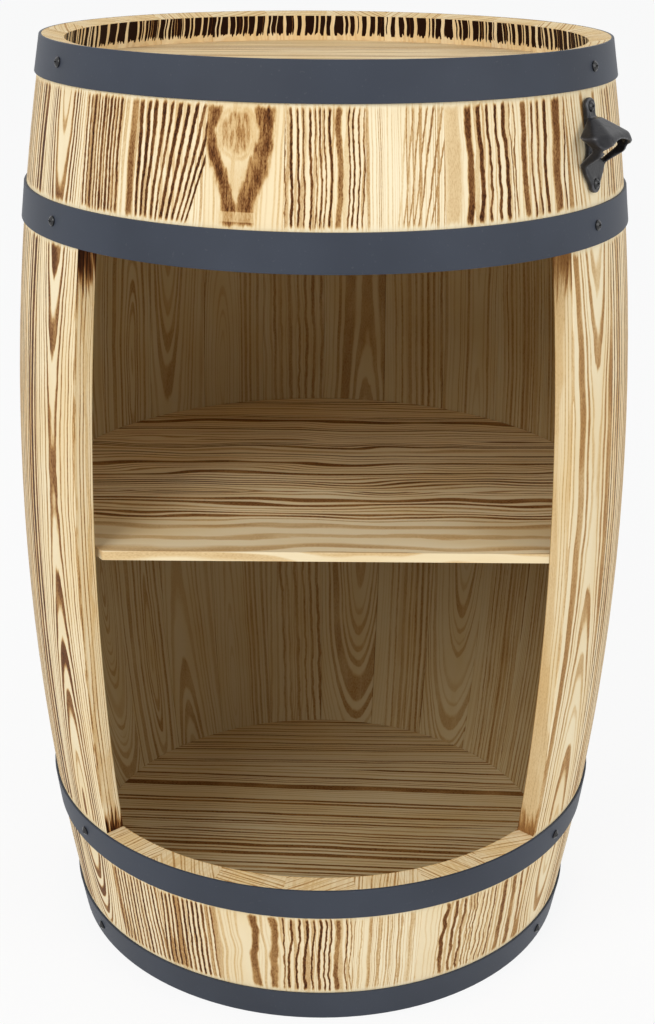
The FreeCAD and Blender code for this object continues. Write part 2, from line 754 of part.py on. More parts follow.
def add_cheeks(body):
    """The cheeks that carry the hood's lip, cut off along a slope from the plate to the lip
    and open towards the stave under the wings. The lip is arched between them."""
    inset = "Sizes.cheek_inset"
    add_shell(body, "cheeks", "Sizes.cheek_wall", "0", [
        ("-Sizes.cheek_foot", "Sizes.cheek_foot_half_width", "Sizes.cheek_foot_reach"),
        (
            "-Sizes.hood_lip", f"(Sizes.hood_lip_half_width - {inset})",
            f"(Sizes.hood_lip_reach - {inset})",
        ),
        (
            "Sizes.hood_bulge", f"(Sizes.hood_bulge_half_width - {inset})",
            f"(Sizes.hood_bulge_reach - {inset})",
        ),
    ])
    outside = f"Sizes.hood_lip_reach + {OVERCUT}"
    cut_side_view(body, "cheek_slope", [
        ("-Sizes.cheek_foot", "Sizes.plate_thickness"),
        ("-Sizes.hood_lip", "Sizes.hood_corner_reach"),
        ("-Sizes.hood_lip", outside),
        (f"-Sizes.cheek_foot - {OVERCUT}", outside),
        (f"-Sizes.cheek_foot - {OVERCUT}", "Sizes.plate_thickness"),
    ])
    above = f"Sizes.hood_top + {OVERCUT}"
    cut_side_view(body, "wall_gap", [
        ("-Sizes.gap_foot", "0"),
        ("-Sizes.gap_drop", "Sizes.gap_reach"),
        ("Sizes.wing_height", "Sizes.wing_gap"),
        (above, "Sizes.wing_gap"),
        (above, f"-{OVERCUT}"),
        ("-Sizes.gap_foot", f"-{OVERCUT}"),
    ])
    inside_lip = FreeCAD.Placement(Z_AXIS * size["arch_start"], FreeCAD.Rotation())
    arch = new_sketch(body, "lip_arch_outline", offset=inside_lip)
    draw_arch(arch)
    extrude(
        body, arch, "lip_arch", f"Sizes.hood_lip_reach + {OVERCUT}",
        kind="PartDesign::Pocket", backwards=True,
    )


def draw_arch(sketch):
    """The arch in the lip: an arc over a level line that lies below the lip."""
    top, radius = size["arch_top"], size["arch_radius"]
    start = math.asin((radius - top - size["arch_foot"]) / radius)
    circle = Part.Circle(FreeCAD.Vector(0, top - radius, 0), Z_AXIS, radius)
    arc = sketch.addGeometry(Part.ArcOfCircle(circle, start, math.pi - start))
    line = sketch.addGeometry(
        Part.LineSegment(circle.value(math.pi - start), circle.value(start))
    )
    join(sketch, arc, 2, line, 1)
    join(sketch, arc, 1, line, 2)
    tie_radius(sketch, arc, "Sizes.arch_radius")
    pin(sketch, arc, 3, "0", "Sizes.arch_top - Sizes.arch_radius")
    tie_level(sketch, arc, 1, "-Sizes.arch_foot")
    tie_level(sketch, arc, 2, "-Sizes.arch_foot")


def draw_circle(sketch, across, up, radius):
    """A circle with its centre and radius tied to expressions."""
    circle = sketch.addGeometry(Part.Circle(FreeCAD.Vector(1, 1, 0), Z_AXIS, 1))
    pin(sketch, circle, 3, across, up)
    tie_radius(sketch, circle, radius)


def add_plate(body):
    """The plate with its two ears, and the tooth that catches under a cap."""
    outline = new_sketch(body, "plate_outline")
    ear = "(Sizes.ear_spacing / 2)"
    draw_polygon(outline, [
        ("Sizes.neck_half_width", ear),
        ("-Sizes.neck_half_width", ear),
        ("-Sizes.neck_half_width", "-Sizes.plate_waist"),
        ("-Sizes.plate_half_width", "-Sizes.plate_shoulder"),
        ("-Sizes.plate_foot_half_width", "-Sizes.plate_foot"),
        ("-Sizes.ear_radius", f"-{ear}"),
        ("Sizes.ear_radius", f"-{ear}"),
        ("Sizes.plate_foot_half_width", "-Sizes.plate_foot"),
        ("Sizes.plate_half_width", "-Sizes.plate_shoulder"),
        ("Sizes.neck_half_width", "-Sizes.plate_waist"),
    ])
    extrude(body, outline, "plate", "Sizes.plate_thickness")
    for name, up in (("upper", ear), ("lower", f"-{ear}")):
        round_end = new_sketch(body, f"{name}_ear_outline")
        draw_circle(round_end, "0", up, "Sizes.ear_radius")
        extrude(body, round_end, f"{name}_ear", "Sizes.plate_thickness")
    tooth = new_sketch(body, "tooth_outline")
    half = "(Sizes.tooth_width / 2)"
    draw_rectangle(
        tooth, f"-{half}", half, "-Sizes.tooth_drop - Sizes.tooth_thickness", "-Sizes.tooth_drop"
    )
    extrude(body, tooth, "tooth", "Sizes.plate_thickness + Sizes.tooth_reach")
    doc.recompute()


def make_opener():
    """The opener and its two screws, which bite into the stave behind it."""
    body = new_body("bottle_opener", opener_placement())
    add_hood(body)
    add_cheeks(body)
    add_plate(body)
    screws = new_body("bottle_opener_screws", opener_placement())
    sunk = size["plate_thickness"] - size["ear_recess"]
    for name, side in (("upper", 1), ("lower", -1)):
        ear = Y_AXIS * side * size["ear_spacing"] / 2
        front = pose(ear + Z_AXIS * size["plate_thickness"], Z_AXIS, Y_AXIS)
        drill(
            body, f"{name}_ear_recess", front,
            "Sizes.screw_head_radius + Sizes.hole_clearance", "Sizes.ear_recess",
        )
        drill(
            body, f"{name}_ear_hole", front,
            "Sizes.screw_shank_radius + Sizes.hole_clearance", f"Sizes.plate_thickness + {OVERCUT}",
        )
        seat = pose(ear + Z_AXIS * (sunk + size["thread_clearance"]), Z_AXIS, Y_AXIS)
        add_screw(screws, f"{name}_opener_screw", seat)


make_opener()


def check_cuts():
    """Stops the build if a cut took nothing from its body."""
    cuts = doc.findObjects("PartDesign::Pocket") + doc.findObjects("PartDesign::Groove")
    for cut in cuts:
        if cut.Shape.Volume > cut.BaseFeature.Shape.Volume - LEAST_CUT:
            raise RuntimeError(f"{cut.Name} cuts nothing")


def check_and_write():
    """Stops on any failed object, and otherwise writes each body to its own STEP file."""
    doc.recompute()
    for item in doc.Objects:
        if {"Invalid", "Error"} & set(item.State):
            raise RuntimeError(f"{item.Label} failed: {item.State}")
    check_cuts()
    os.makedirs("parts", exist_ok=True)
    for body in doc.findObjects("PartDesign::Body"):
        if body.Shape.isNull() or not body.Shape.isValid():
            raise RuntimeError(f"{body.Label} has no valid shape")
        body.Shape.exportStep(f"parts/{body.Label}.step")
        print(f"{body.Label}: {len(body.Shape.Solids)} solid, {body.Shape.Volume:.0f} mm3")


check_and_write()
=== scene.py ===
"""The looks of the barrel bar cabinet: scorched pine staves, heads and shelf, matt steel hoops,
black screws and a cast iron bottle opener, on a pale floor in soft studio light.

Metres, +Z up, and the front faces -Y. In a stave's own axes X points out of the barrel through
the middle of the stave, Y runs across it to the right as seen from outside, and Z runs up.
"""

import math
import random

import bmesh
import bpy
from mathutils import Matrix, Vector


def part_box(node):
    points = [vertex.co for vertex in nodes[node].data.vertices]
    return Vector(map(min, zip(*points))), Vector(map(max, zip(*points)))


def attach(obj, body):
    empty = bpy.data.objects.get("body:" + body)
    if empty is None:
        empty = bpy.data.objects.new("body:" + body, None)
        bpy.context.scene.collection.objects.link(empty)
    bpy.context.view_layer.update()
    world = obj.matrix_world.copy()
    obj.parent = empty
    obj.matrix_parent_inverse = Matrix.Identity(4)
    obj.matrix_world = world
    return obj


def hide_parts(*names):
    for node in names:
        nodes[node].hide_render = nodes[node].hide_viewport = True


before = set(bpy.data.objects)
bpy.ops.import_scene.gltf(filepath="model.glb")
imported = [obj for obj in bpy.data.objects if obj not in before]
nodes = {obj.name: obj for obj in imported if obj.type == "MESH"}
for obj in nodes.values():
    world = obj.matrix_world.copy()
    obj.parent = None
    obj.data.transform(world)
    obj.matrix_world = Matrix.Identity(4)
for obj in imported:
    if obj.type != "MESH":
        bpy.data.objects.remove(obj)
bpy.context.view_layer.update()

# The barrel.
MILLIMETRE = 0.001
BELLY_RADIUS = 0.2665
RIM_RADIUS = 0.2295
HEIGHT = 0.8
STAVE_THICKNESS = 0.018
OPENING_HALF_ANGLE = 47.5
FRONT_STAVES = 7
FULL_STAVES = 18
HOOPS = ("foot_hoop", "sill_hoop", "lintel_hoop", "rim_hoop")

MIDDLE = HEIGHT / 2
RISE = BELLY_RADIUS - RIM_RADIUS
BOW_RADIUS = (MIDDLE**2 + RISE**2) / (2 * RISE)
BOW_CENTRE = BELLY_RADIUS - BOW_RADIUS
FRONT_PITCH = 2 * OPENING_HALF_ANGLE / FRONT_STAVES
STAVE_PITCH = (360 - 2 * OPENING_HALF_ANGLE) / FULL_STAVES
SILL_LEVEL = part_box("sill_hoop")[1].z
LINTEL_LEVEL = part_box("lintel_hoop")[0].z
HEAD_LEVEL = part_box("top_head_board_1")[1].z
rim_low, rim_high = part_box("rim_hoop")
AXIS = Vector((0, (rim_low.y + rim_high.y) / 2, 0))


# Node trees.

# The sockets of a Mix node that mixes colours.
MIX_AMOUNT, MIX_FIRST, MIX_SECOND, MIX_RESULT = 0, 6, 7, 2
# What the sockets of a node group hold, where it isn't a number.
SOCKET_KINDS = {"Place": "Vector", "Color": "Color"}


class Field:
    """A number that varies over a surface: an output in a node tree. Sums and products of
    fields and plain numbers add Math nodes to that tree."""

    def __init__(self, tree, socket):
        self.tree = tree
        self.socket = socket

    def calc(self, operation, *others):
        """Adds a Math node that works on this field and the others."""
        return Field(self.tree, add(self.tree, "Math", [self, *others], operation=operation))

    def __add__(self, other):
        return self.calc("ADD", other)

    def __sub__(self, other):
        return self.calc("SUBTRACT", other)

    def __mul__(self, other):
        return self.calc("MULTIPLY", other)

    def __truediv__(self, other):
        return self.calc("DIVIDE", other)

    def __rsub__(self, number):
        return self * -1 + number

    def step(self, low, high, start=0.0, end=1.0):
        """Goes smoothly from start to end while this field goes from low to high."""
        inputs = [self, low, high, start, end]
        ramp = add(self.tree, "MapRange", inputs, interpolation_type="SMOOTHSTEP")
        return Field(self.tree, ramp)


def plug(tree, value, socket):
    """Feeds a socket with a field, another socket or a plain value."""
    value = value.socket if isinstance(value, Field) else value
    if isinstance(value, bpy.types.NodeSocket):
        tree.links.new(value, socket)
    else:
        socket.default_value = value


def add(tree, kind, inputs=(), output=0, **settings):
    """Adds a node, feeds its inputs and returns one of its outputs. inputs is a list in the
    order of the sockets, or a dictionary by their names."""
    node = tree.nodes.new(f"ShaderNode{kind}")
    for name, value in settings.items():
        setattr(node, name, value)
    pairs = inputs.items() if isinstance(inputs, dict) else enumerate(inputs)
    for key, value in pairs:
        plug(tree, value, node.inputs[key])
    return node.outputs[output]


def noise(tree, place, scale, detail=2.0):
    """Noise from 0 to 1 whose features measure about one over its scale, in metres. A scale for
    each axis stretches them."""
    if isinstance(scale, tuple):
        place = add(tree, "VectorMath", [place, scale], operation="MULTIPLY")
        scale = 1.0
    inputs = {"Vector": place, "Scale": scale, "Detail": detail}
    return Field(tree, add(tree, "TexNoise", inputs))


def noise_along(tree, distance, detail=1.0):
    """Noise from 0 to 1 along a line, with about one feature in each unit of distance."""
    inputs = {"W": distance, "Scale": 1.0, "Detail": detail}
    return Field(tree, add(tree, "TexNoise", inputs, noise_dimensions="1D"))


def split(tree, vector):
    """The three parts of a vector as fields."""
    node = tree.nodes.new("ShaderNodeSeparateXYZ")
    tree.links.new(vector, node.inputs[0])
    return [Field(tree, socket) for socket in node.outputs]


def palette(tree, amount, *stops):
    """A colour that runs through the given stops, each a position and a colour."""
    node = tree.nodes.new("ShaderNodeValToRGB")
    tree.links.new(amount.socket, node.inputs[0])
    ramp = node.color_ramp
    for _ in range(len(stops) - len(ramp.elements)):
        ramp.elements.new(1.0)
    for element, (position, colour) in zip(ramp.elements, stops):
        element.position = position
        element.color = (*colour, 1)
    return node.outputs[0]


def levels(tree, amount, *stops):
    """A number that runs through the given stops, each a position and a level from 0 to 1."""
    greys = [(position, (level, level, level)) for position, level in stops]
    return Field(tree, add(tree, "RGBToBW", [palette(tree, amount, *greys)]))


def blend_colours(tree, amount, first, second, mode="MIX"):
    """Mixes two colours, each a socket or plain red, green and blue."""
    first, second = (
        colour if isinstance(colour, bpy.types.NodeSocket) else (*colour, 1)
        for colour in (first, second)
    )
    inputs = {MIX_AMOUNT: amount, MIX_FIRST: first, MIX_SECOND: second}
    return add(tree, "Mix", inputs, MIX_RESULT, data_type="RGBA", blend_type=mode)


def new_group(name, inputs, outputs):
    """An empty node group. Returns its tree, its inputs as fields and its output node."""
    tree = bpy.data.node_groups.new(name, "ShaderNodeTree")
    for side, labels in (("INPUT", inputs), ("OUTPUT", outputs)):
        for label in labels:
            kind = SOCKET_KINDS.get(label, "Float")
            tree.interface.new_socket(label, in_out=side, socket_type=f"NodeSocket{kind}")
    source = tree.nodes.new("NodeGroupInput")
    fields = {label: Field(tree, source.outputs[label]) for label in inputs}
    return tree, fields, tree.nodes.new("NodeGroupOutput")


def close_group(tree, result, outputs):
    """Feeds a group's output node by name and returns its tree."""
    for label, value in outputs.items():
        plug(tree, value, result.inputs[label])
    return tree


def use_group(tree, group, inputs):
    """Places a group in a tree and returns its outputs by name, as fields."""
    node = tree.nodes.new("ShaderNodeGroup")
    node.node_tree = group
    for label, value in inputs.items():
        plug(tree, value, node.inputs[label])
    return {socket.name: Field(tree, socket) for socket in node.outputs}


def new_material(name):
    """A material, its tree and its Principled shader, which is already shown."""
    material = bpy.data.materials.new(name)
    material.use_nodes = True
    tree = material.node_tree
    return material, tree, tree.nodes["Principled BSDF"]


def feed(tree, shader, **inputs):
    """Sets a shader's inputs by name, with underscores for spaces."""
    for name, value in inputs.items():
        plug(tree, value, shader.inputs[name.replace("_", " ")])


def dress(name, material):
    """Gives a node of the model its material."""
    mesh = nodes[name].data
    mesh.materials.clear()
    mesh.materials.append(material)


# Pine.

CREAM = (0.99, 0.86, 0.60)
STRAW = (0.84, 0.64, 0.36)
TAN = (0.52, 0.30, 0.115)
BROWN = (0.20, 0.078, 0.022)
SCORCH = (0.070, 0.022, 0.005)
CHAR = (0.016, 0.0045, 0.0015)
TOASTED = (0.86, 0.70, 0.44)
# The grey that smoke and painted shade multiply the wood by, inside the barrel.
SMOKE_AND_SHADE_GREY = (0.50, 0.49, 0.44)

# How far the rings ripple, and how far a stripe's edges stray from its line.
RING_RIPPLE = 0.0011
RAGGED_EDGE = 0.0011
# How much of its depth below the surface the grain drifts sideways.
DRIFT = 0.55


def make_growth_rings():
    """The growth rings of a trunk, as they come out in a board that was cut from it. Place is
    the board's own axes, with Z along the grain. Pith and Side say where the trunk's middle
    runs, Lean and Slant how it tilts, Ring how wide a ring is, and Wave how the rings wander."""
    tree, field, result = new_group(
        "Growth rings",
        ["Place", "Pith", "Side", "Lean", "Slant", "Ring", "Wave", "Wave length", "Seed"],
        ["Latewood", "Strength", "Fibre"],
    )
    place, seed = field["Place"].socket, field["Seed"]
    x, y, z = split(tree, place)
    seeded = add(tree, "CombineXYZ", [seed * 3.1, seed * 7.7, 0.0])
    shifted = add(tree, "VectorMath", [place, seeded], operation="ADD")
    waves = add(tree, "CombineXYZ", [
        x * 14 + seed * 3.1, y * 22 + seed * 7.7, z / field["Wave length"],
    ])
    wander = (noise(tree, waves, 1.0, 1.0) - 0.5) * field["Wave"] * 2
    ripple = (noise(tree, shifted, (60, 160, 45)) - 0.5) * RING_RIPPLE
    across = y - field["Side"] - field["Slant"] * (z - MIDDLE) + wander
    out = x - field["Pith"] - field["Lean"] * (z - MIDDLE)
    radius = (across * across + out * out).calc("SQRT") + ripple
    uneven = noise_along(tree, radius / field["Ring"] * 0.22 + seed * 5.3)
    count = radius / field["Ring"] + uneven * 3.2
    turn = count.calc("FRACT")
    chance = Field(tree, add(
        tree, "TexWhiteNoise", {"W": count.calc("FLOOR") + seed * 11.0}, noise_dimensions="1D",
    ))
    start = 0.62 - chance * 0.4
    rise = turn.step(start, start + 0.22)
    fall = turn.step(0.88, 1.0, 1.0, 0.0)
    return close_group(tree, result, {
        "Latewood": rise * fall,
        "Strength": chance.step(0.0, 0.9, 0.4, 1.0),
        "Fibre": noise(tree, shifted, (900, 900, 28)),
    })


def make_grain_run():
    """How far a place lies across a board, once the grain's own course is taken out: its slant,
    how it fans out, how it wanders, and how it drifts as it goes deeper."""
    tree, field, result = new_group(
        "Grain run",
        ["Place", "Depth", "Level", "Slant", "Fan", "Fan from", "Wave", "Wave length", "Seed"],
        ["Across"],
    )
    place = field["Place"].socket
    y, z = split(tree, place)[1:]
    up = z - field["Level"]
    seed = field["Seed"] * 7.7
    slow = add(tree, "CombineXYZ", [y * 16 + seed, z / field["Wave length"], seed])
    quick = add(tree, "CombineXYZ", [y * 70 + seed, z / field["Wave length"] * 3.5, seed])
    wander = (noise(tree, slow, 1.0, 1.0) - 0.5) * field["Wave"] * 2.4
    wander = wander + (noise(tree, quick, 1.0, 1.0) - 0.5) * field["Wave"] * 0.7
    ragged = (noise(tree, place, (900, 900, 210), 1.0) - 0.5) * RAGGED_EDGE
    across = (y - field["Fan from"]) / (field["Fan"] * up + 1) + field["Fan from"]
    across = across - field["Slant"] * up + field["Depth"] * DRIFT + wander + ragged
    return close_group(tree, result, {"Across": across})


def make_pine_surface():
    """Colour, roughness and height of scorched and brushed pine. Ink is how dark the lines were
    burnt, Toast how much the soft wood yellowed, Smoke how much it is greyed and darkened
    by smoke and by painted shade, and Char how black."""
    tree, field, result = new_group(
        "Pine surface",
        ["Place", "Ink", "Fibre", "Toast", "Smoke", "Char"],
        ["Color", "Roughness", "Height"],
    )
    place, fibre = field["Place"].socket, field["Fibre"]
    blotch = noise(tree, place, (75, 75, 16), 3.0)
    speckle = noise(tree, place, (1500, 1500, 420), 1.0)
    ink = field["Ink"] * blotch.step(0.25, 0.6, 0.62, 1.0)
    ink = ink * speckle.step(0.25, 0.62, 1.08, 0.76)
    amount = ink + (fibre - 0.5) * 0.12 * (ink + 0.4) + field["Char"]
    colour = palette(
        tree, amount, (0.0, CREAM), (0.16, STRAW), (0.36, TAN), (0.6, BROWN), (0.82, SCORCH),
        (1.0, CHAR),
    )
    patches = noise(tree, place, (26, 26, 7))
    yellow = patches.step(0.35, 0.75) * 0.4 + field["Toast"]
    colour = blend_colours(tree, yellow, colour, TOASTED, "MULTIPLY")
    # Smoke and painted shade: the wood inside the barrel is greyed and darkened.
    colour = blend_colours(tree, field["Smoke"], colour, SMOKE_AND_SHADE_GREY, "MULTIPLY")
    return close_group(tree, result, {
        "Color": colour,
        "Roughness": 0.62 - ink * 0.12,
        "Height": field["Ink"] * 0.6 + fibre * 0.35,
    })


growth_rings = make_growth_rings()
grain_run = make_grain_run()
pine_surface = make_pine_surface()

# Where a level board's face lies on the X axis of its grain.
BOARD_FACE = 0.25
# The middle heights of the short staves above and below the opening.
UPPER_LEVEL = 0.722
LOWER_LEVEL = 0.08

# How a straight-grained board was cut: where the pith runs below its face, and so on. Scorch is
# how hard its rings were burnt. Stripes are bolder rings, each a place across the board and a
# width in millimetres, and how black it is. Flame is the place of a flame across the board.
STRAIGHT = {
    "Pith": BOARD_FACE, "Side": 0.11, "Lean": 0.0, "Slant": 0.0, "Ring": 0.0042,
    "Wave": 0.0012, "Wave length": 0.03, "Fan": 0.0, "Fan from": 0.0, "Level": MIDDLE,
    "Scorch": 1.0, "Toast": 0.1, "Smoke": 0.0, "Seed": 0.0, "Stripes": [], "Flame": None,
}

# How much of the board's width the stripes' ramps cover, and how many stripes fit on a ramp.
STRIPE_WINDOW = 0.08
STRIPES_ON_RAMP = 7
# Where a stripe starts, is full, fades and ends, in widths from its place.
STRIPE_EDGES = (-0.72, -0.4, 0.28, 0.56)

# The flame: the heights where its outline starts and ends, its oval and the pale bar at its foot.
FLAME_FOOT = 0.692
FLAME_TIP = 0.764
OVAL_LEVEL = 0.7505
OVAL_HALF_HEIGHT = 0.0173
OVAL_HALF_WIDTH = 0.0128
BAR_LOW = 0.690
BAR_HIGH = 0.697
BAR_EDGE = 0.0005


def cut(**changes):
    """A board that differs from a straight-grained one in what is named."""
    return {**STRAIGHT, **{name.replace("_", " "): value for name, value in changes.items()}}


def draw_stripes(tree, across, stripes):
    """Stripes at places across a board. Neighbours go on different ramps, so that their soft
    edges may overlap."""
    shown = None
    ordered = sorted(stripes)
    ramps = 2 * math.ceil(len(ordered) / (2 * STRIPES_ON_RAMP))
    for first in range(ramps):
        stops = []
        for place, width, black in ordered[first::ramps]:
            for edge, level in zip(STRIPE_EDGES, (0.0, black, black, 0.0)):
                position = (place + edge * width) * MILLIMETRE / STRIPE_WINDOW + 0.5
                stops.append((min(max(position, 0.0), 1.0), level))
        layer = levels(tree, across / STRIPE_WINDOW + 0.5, *stops)
        shown = layer if shown is None else shown.calc("MAXIMUM", layer)
    return shown


def profile(tree, rise, *widths):
    """A width that changes in even steps while rise goes from 0 to 1, in millimetres."""
    most = max(widths)
    stops = [(number / (len(widths) - 1), width / most) for number, width in enumerate(widths)]
    return levels(tree, rise, *stops) * (most * MILLIMETRE)


def draw_flame(tree, place, across, middle):
    """A flame where the board was cut through a swelling of the trunk: a brown oval in a pale
    ring, and round them two dark legs that meet lower down, over a pale bar."""
    height = split(tree, place)[2]
    rise = (height - FLAME_FOOT) / (FLAME_TIP - FLAME_FOOT)
    lean = profile(tree, rise, 1.6, 2.0, 2.8, 2.4, 1.5, 1.8, 2.0)
    inner = profile(tree, rise, 0.0, 1.6, 5.0, 10.2, 14.4, 17.6, 13.2)
    outer = profile(tree, rise, 13.6, 14.8, 18.8, 23.2, 25.2, 25.8, 25.2)
    inside = (across - middle).calc("ABSOLUTE")
    outside = (across - middle - lean).calc("ABSOLUTE")
    edge = (noise(tree, place, (300, 300, 55), 3.0) - 0.5) * 0.007
    streaks = noise(tree, place, (520, 520, 34), 3.0)

    legs = (inside - inner + edge).step(-0.0032, 0.0008)
    legs = legs * (outside - outer + edge).step(-0.0040, 0.0008, 1.0, 0.0)
    heart = (outside - (inner + outer) * 0.5).calc("ABSOLUTE").step(0.0, 0.006, 0.2, 0.0)
    bar = height.step(BAR_LOW - BAR_EDGE, BAR_LOW + BAR_EDGE)
    bar = bar * height.step(BAR_HIGH - BAR_EDGE, BAR_HIGH + BAR_EDGE, 1.0, 0.0)
    legs = legs * (streaks.step(0.3, 0.65, 0.78, 0.48) + heart) * (1 - bar * 0.5)
    glow = (outside - outer + edge).step(-0.003, 0.002, 1.0, 0.0)
    glow = glow * height.step(0.716, 0.742, 0.2, 0.0)

    tall = (height - OVAL_LEVEL) / OVAL_HALF_HEIGHT
    wide = inside / OVAL_HALF_WIDTH
    oval = (tall * tall + wide * wide).calc("SQRT") + edge * 50
    blob = oval.step(0.66, 1.12, 1.0, 0.0) * streaks.step(0.35, 0.62, 0.56, 0.26)
    ring = oval.step(0.92, 1.04) * oval.step(1.08, 1.2, 1.0, 0.0)
    return legs.calc("MAXIMUM", glow) + blob + ring * 0.16


def finish_pine(tree, shader, place, board, zones):
    """Wires a board's rings, stripes and surface into a shader. zones says how hard the flame
    was, and so on."""
    rings = use_group(tree, growth_rings, {"Place": place} | {
        name: board[name]
        for name in ("Pith", "Side", "Lean", "Slant", "Ring", "Wave", "Wave length", "Seed")
    })
    wood = rings["Latewood"] * rings["Strength"]
    ink = wood * (zones["Scorch"] * board["Scorch"] + 0.12)
    ink = ink.calc("MAXIMUM", zones["Lines"])
    if board["Stripes"] or board["Flame"] is not None:
        across = use_group(tree, grain_run, {"Place": place, "Depth": zones["Depth"]} | {
            name: board[name]
            for name in ("Level", "Slant", "Fan", "Fan from", "Wave", "Wave length", "Seed")
        })["Across"]
        if board["Stripes"]:
            stripes = draw_stripes(tree, across, board["Stripes"])
            ink = ink.calc("MAXIMUM", (stripes * zones["Stripes"]).calc("MINIMUM", 1.0))
        if board["Flame"] is not None:
            flame = draw_flame(tree, place, across, board["Flame"])
            ink = ink.calc("MAXIMUM", flame * zones["Scorch"])
    surface = use_group(tree, pine_surface, {
        "Place": place, "Ink": ink, "Fibre": rings["Fibre"],
        "Toast": zones["Toast"] + board["Toast"], "Smoke": zones["Smoke"] + board["Smoke"],
        "Char": zones["Char"],
    })
    bump = add(tree, "Bump", {"Strength": 0.35, "Distance": 0.0006, "Height": surface["Height"]})
    feed(
        tree, shader, Base_Color=surface["Color"], Roughness=surface["Roughness"], Normal=bump,
        Specular_IOR_Level=0.08,
    )


# How deep below a stave's face its look is still full, and where it has gone.
SKIN_FULL = 0.0004
SKIN_GONE = 0.0012
# How far from a hoop's edge the scorching starts and is full, and how far that edge strays.
HOOP_SHADOW = 0.0008
HOOP_CLEAR = 0.0055
HOOP_STRAY = 0.007
# The bars burnt inside the rim: how far above the head they start, and how many go to a metre.
RIM_BAR_FOOT = 0.0035
RIM_BARS = 270
# How far apart the threads along a jamb and the rings in a stave's ends are: how many to a metre.
JAMB_THREADS = 620
END_RINGS = 480


def own_axes(tree, azimuth):
    """A stave's own axes, from the object's."""
    inputs = {
        "Vector": add(tree, "TexCoord", output="Object"), "Location": AXIS,
        "Rotation": (0, 0, math.radians(azimuth - 90)),
    }
    return add(tree, "Mapping", inputs, vector_type="TEXTURE")


def clear_of_hoops(z, ragged):
    """0 by the hoops, which kept the flame off, and 1 a few millimetres away from them."""
    clear = None
    for hoop in HOOPS:
        low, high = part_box(hoop)
        middle, half = (low.z + high.z) / 2, (high.z - low.z) / 2
        distance = (z - middle).calc("ABSOLUTE") - half
        away = (distance + (ragged - 0.5) * HOOP_STRAY).step(HOOP_SHADOW, HOOP_CLEAR)
        clear = away if clear is None else clear * away
    return clear


def draw_rim_bars(tree, place, seed):
    """The black bars burnt inside the rim, which end in points above the head."""
    y, z = split(tree, place)[1:]
    above = (z - (HEAD_LEVEL + RIM_BAR_FOOT)) / (HEIGHT - HEAD_LEVEL)
    wander = (noise(tree, place, (60, 60, 60), 1.0) - 0.5) * 0.004
    bars = noise_along(tree, (y + wander) * RIM_BARS + seed * 7.3)
    gaps = above.step(-0.1, 0.18, 0.66, 0.458) - above.step(0.86, 1.0) * 0.1
    return (bars - gaps).step(-0.012, 0.018) * above.step(0.0, 0.04)


def draw_tongues(tree, place):
    """Where the flame licked a jamb: below the lintel hoop and above the sill hoop."""
    z = split(tree, place)[2]
    tongues = noise(tree, place, (480, 480, 26)) - 0.5
    upper = (z + tongues * 0.075).step(LINTEL_LEVEL - 0.036, LINTEL_LEVEL - 0.006)
    lower = (z + tongues * 0.06).step(SILL_LEVEL + 0.001, SILL_LEVEL + 0.024, 1.0, 0.0)
    return upper + lower


def draw_end_rings(tree, place, flecks, seed):
    """The rings in the end of a stave, each stave's turned another way."""
    x, y = split(tree, place)[:2]
    turn = seed * 2.4
    way = x * turn.calc("SINE") + y * turn.calc("COSINE") + flecks * 0.4
    return noise_along(tree, way * END_RINGS).step(0.47, 0.66)


